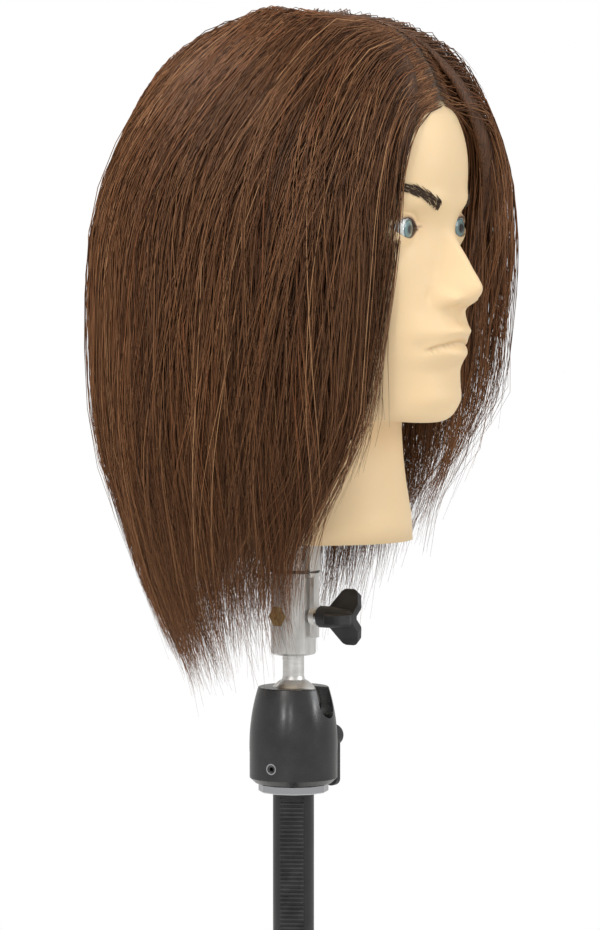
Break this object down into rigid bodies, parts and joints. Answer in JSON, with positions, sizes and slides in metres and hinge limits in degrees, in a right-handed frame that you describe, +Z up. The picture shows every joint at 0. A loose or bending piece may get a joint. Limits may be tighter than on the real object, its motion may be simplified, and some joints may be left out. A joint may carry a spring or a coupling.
{
  "type": "mannequin training head",
  "caption": "Life-size salon training head with straight parted hair on a clamp post, ball joint with drop slot and lock lever, standing on a round geared column.",
  "frame": {"origin": "centre of the flat bottom end of the round column", "axes": "+Z up along the column, the face looks along -Y, the head's left side is +X"},
  "size_m": [0.208, 0.2414, 0.697],
  "materials": {
    "black_powder_coat": "satin",
    "black_plastic": "matte",
    "zinc_metal": "satin",
    "bright_chrome": "polished",
    "black_housing": "semi-gloss",
    "brass": "satin",
    "dark_steel": "satin",
    "white_nylon": "matte",
    "satin_aluminium": "satin",
    "cast_aluminium": "as cast",
    "vinyl_skin": "soft matte",
    "foam": "matte",
    "cream_board": "matte",
    "eye": "gloss",
    "hair": "straight brown hair"
  },
  "bodies": {
    "column": {"centre_column": "black_powder_coat", "rack_strip": "black_plastic", "column_end_plug": "black_plastic", "column_top_plug": "zinc_metal", "base_ring": "bright_chrome", "friction_washer": "black_plastic", "pan_stud": "zinc_metal"},
    "housing": {"ball_housing": "black_housing", "housing_floor": "zinc_metal", "pan_bush": "brass", "spindle_bush": "brass", "grub_screw": "dark_steel", "grub_bezel": "bright_chrome"},
    "lever": {"cam_spindle": "zinc_metal", "lock_lever": "black_plastic", "lever_screw": "dark_steel"},
    "cup": {"ball_cup": "white_nylon"},
    "ball": {"ball_stud": "satin_aluminium"},
    "post": {"holder_post": "cast_aluminium", "barrel_nut": "brass", "post_set_screw": "dark_steel", "spring_ring": "dark_steel"},
    "jaw": {"clamp_jaw": "cast_aluminium"},
    "screw_slide": {"thrust_washer": "bright_chrome"},
    "wing": {"wing_stud": "zinc_metal", "wing_knob": "black_plastic"},
    "head": {"head_shell": "vinyl_skin", "foam_core": "foam", "neck_base_plate": "cream_board", "neck_socket": "white_nylon", "base_screws": "zinc_metal", "eye_left": "eye", "eye_right": "eye", "hair_top_left": "hair", "hair_top_right": "hair", "hair_side_left": "hair", "hair_side_right": "hair", "hair_back_left": "hair", "hair_back_right": "hair"}
  },
  "joints": [
    {"name": "housing_pan", "type": "hinge", "parent": "column", "child": "housing", "pos_m": [0, 0, 0.2453], "axis": [0, 0, 1], "continuous": true},
    {"name": "lever_turn", "type": "hinge", "parent": "housing", "child": "lever", "pos_m": [0, 0, 0.268], "axis": [1, 0, 0], "range_deg": [0, 180]},
    {"name": "cup_drop", "type": "slide", "parent": "housing", "child": "cup", "axis": [0, 0, -1], "range_m": [0, 0.0006]},
    {"name": "ball_tilt", "type": "hinge", "parent": "housing", "child": "ball", "pos_m": [0, 0, 0.2916], "axis": [1, 0, 0], "range_deg": [-20, 90]},
    {"name": "post_spin", "type": "hinge", "parent": "ball", "child": "post", "pos_m": [0, 0, 0.32], "axis": [0, 0, 1], "continuous": true},
    {"name": "jaw_rock", "type": "hinge", "parent": "post", "child": "jaw", "pos_m": [0, -0.013, 0.369], "axis": [-1, 0, 0], "range_deg": [0, 2.2]},
    {"name": "screw_travel", "type": "slide", "parent": "post", "child": "screw_slide", "axis": [0, -1, 0], "range_m": [0, 0.00125]},
    {"name": "wing_turn", "type": "hinge", "parent": "screw_slide", "child": "wing", "pos_m": [0, 0, 0.343], "axis": [0, -1, 0], "range_deg": [0, 360]},
    {"name": "head_lift", "type": "slide", "parent": "post", "child": "head", "axis": [0, 0, 1], "range_m": [0, 0.06]}
  ],
  "couplings": [
    {"joint": "lever_turn", "follows": "cup_drop", "rad_per_m": 5236},
    {"joint": "wing_turn", "follows": "screw_travel", "rad_per_m": 5026.5},
    {"joint": "jaw_rock", "follows": "screw_travel", "rad_per_m": 30.717}
  ]
}
